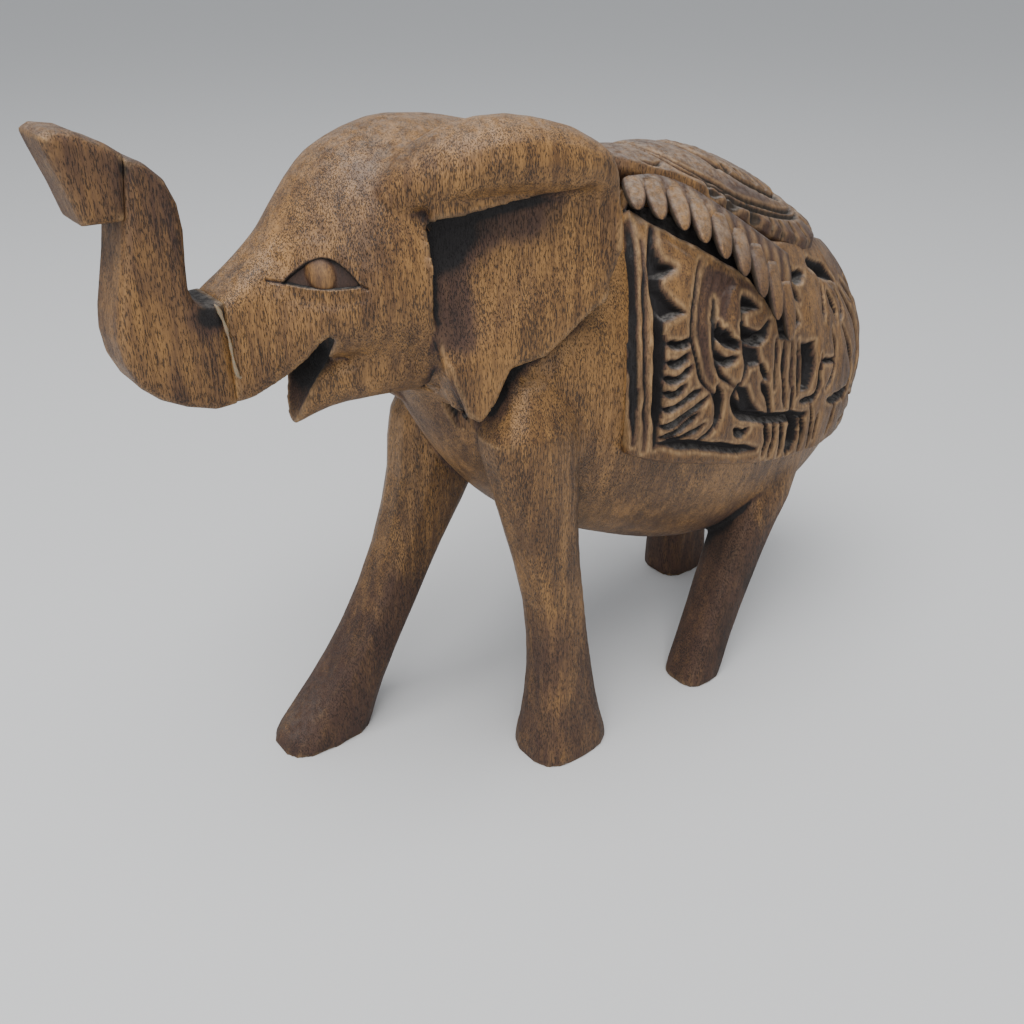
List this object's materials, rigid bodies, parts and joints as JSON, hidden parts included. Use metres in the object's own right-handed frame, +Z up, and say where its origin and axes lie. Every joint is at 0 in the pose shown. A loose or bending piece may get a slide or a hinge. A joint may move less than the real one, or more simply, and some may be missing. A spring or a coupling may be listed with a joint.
{
  "type": "carved wooden elephant figurine",
  "caption": "Carved wooden elephant figurine, walking with its trunk raised, with wide ears and a relief-carved saddle cloth; it stands on flat soles.",
  "frame": {"origin": "on the ground, under the middle of the bounding box", "axes": "+Z up; -Y the way the elephant faces; +X its left side"},
  "size_m": [0.0606, 0.19, 0.144],
  "materials": {
    "waxed_wood": "hand-carved medium brown open-pored wood with upright grain, darker stain in hollows, thin wax, satin",
    "stained_carving": "relief-carved wood with near-black stain left in the cuts and dusty, rubbed high spots, satin",
    "eye_wood": "smooth carved wood with dark stain round it, satin",
    "dry_glue": "dried cloudy adhesive bead, slightly glossy"
  },
  "bodies": {
    "root": {"torso": "waxed_wood", "head": "waxed_wood", "lower_jaw": "waxed_wood", "trunk_curve": "waxed_wood", "trunk_tip": "waxed_wood", "left_ear": "waxed_wood", "right_ear": "waxed_wood", "front_left_leg": "waxed_wood", "front_right_leg": "waxed_wood", "hind_left_leg": "waxed_wood", "hind_right_leg": "waxed_wood", "tail": "waxed_wood", "saddle_cloth_left": "stained_carving", "saddle_cloth_right": "stained_carving", "saddle_fringe_left": "stained_carving", "saddle_fringe_right": "stained_carving", "saddle_pad": "stained_carving", "left_eye": "eye_wood", "right_eye": "eye_wood", "trunk_glue_bead": "dry_glue"}
  },
  "joints": []
}
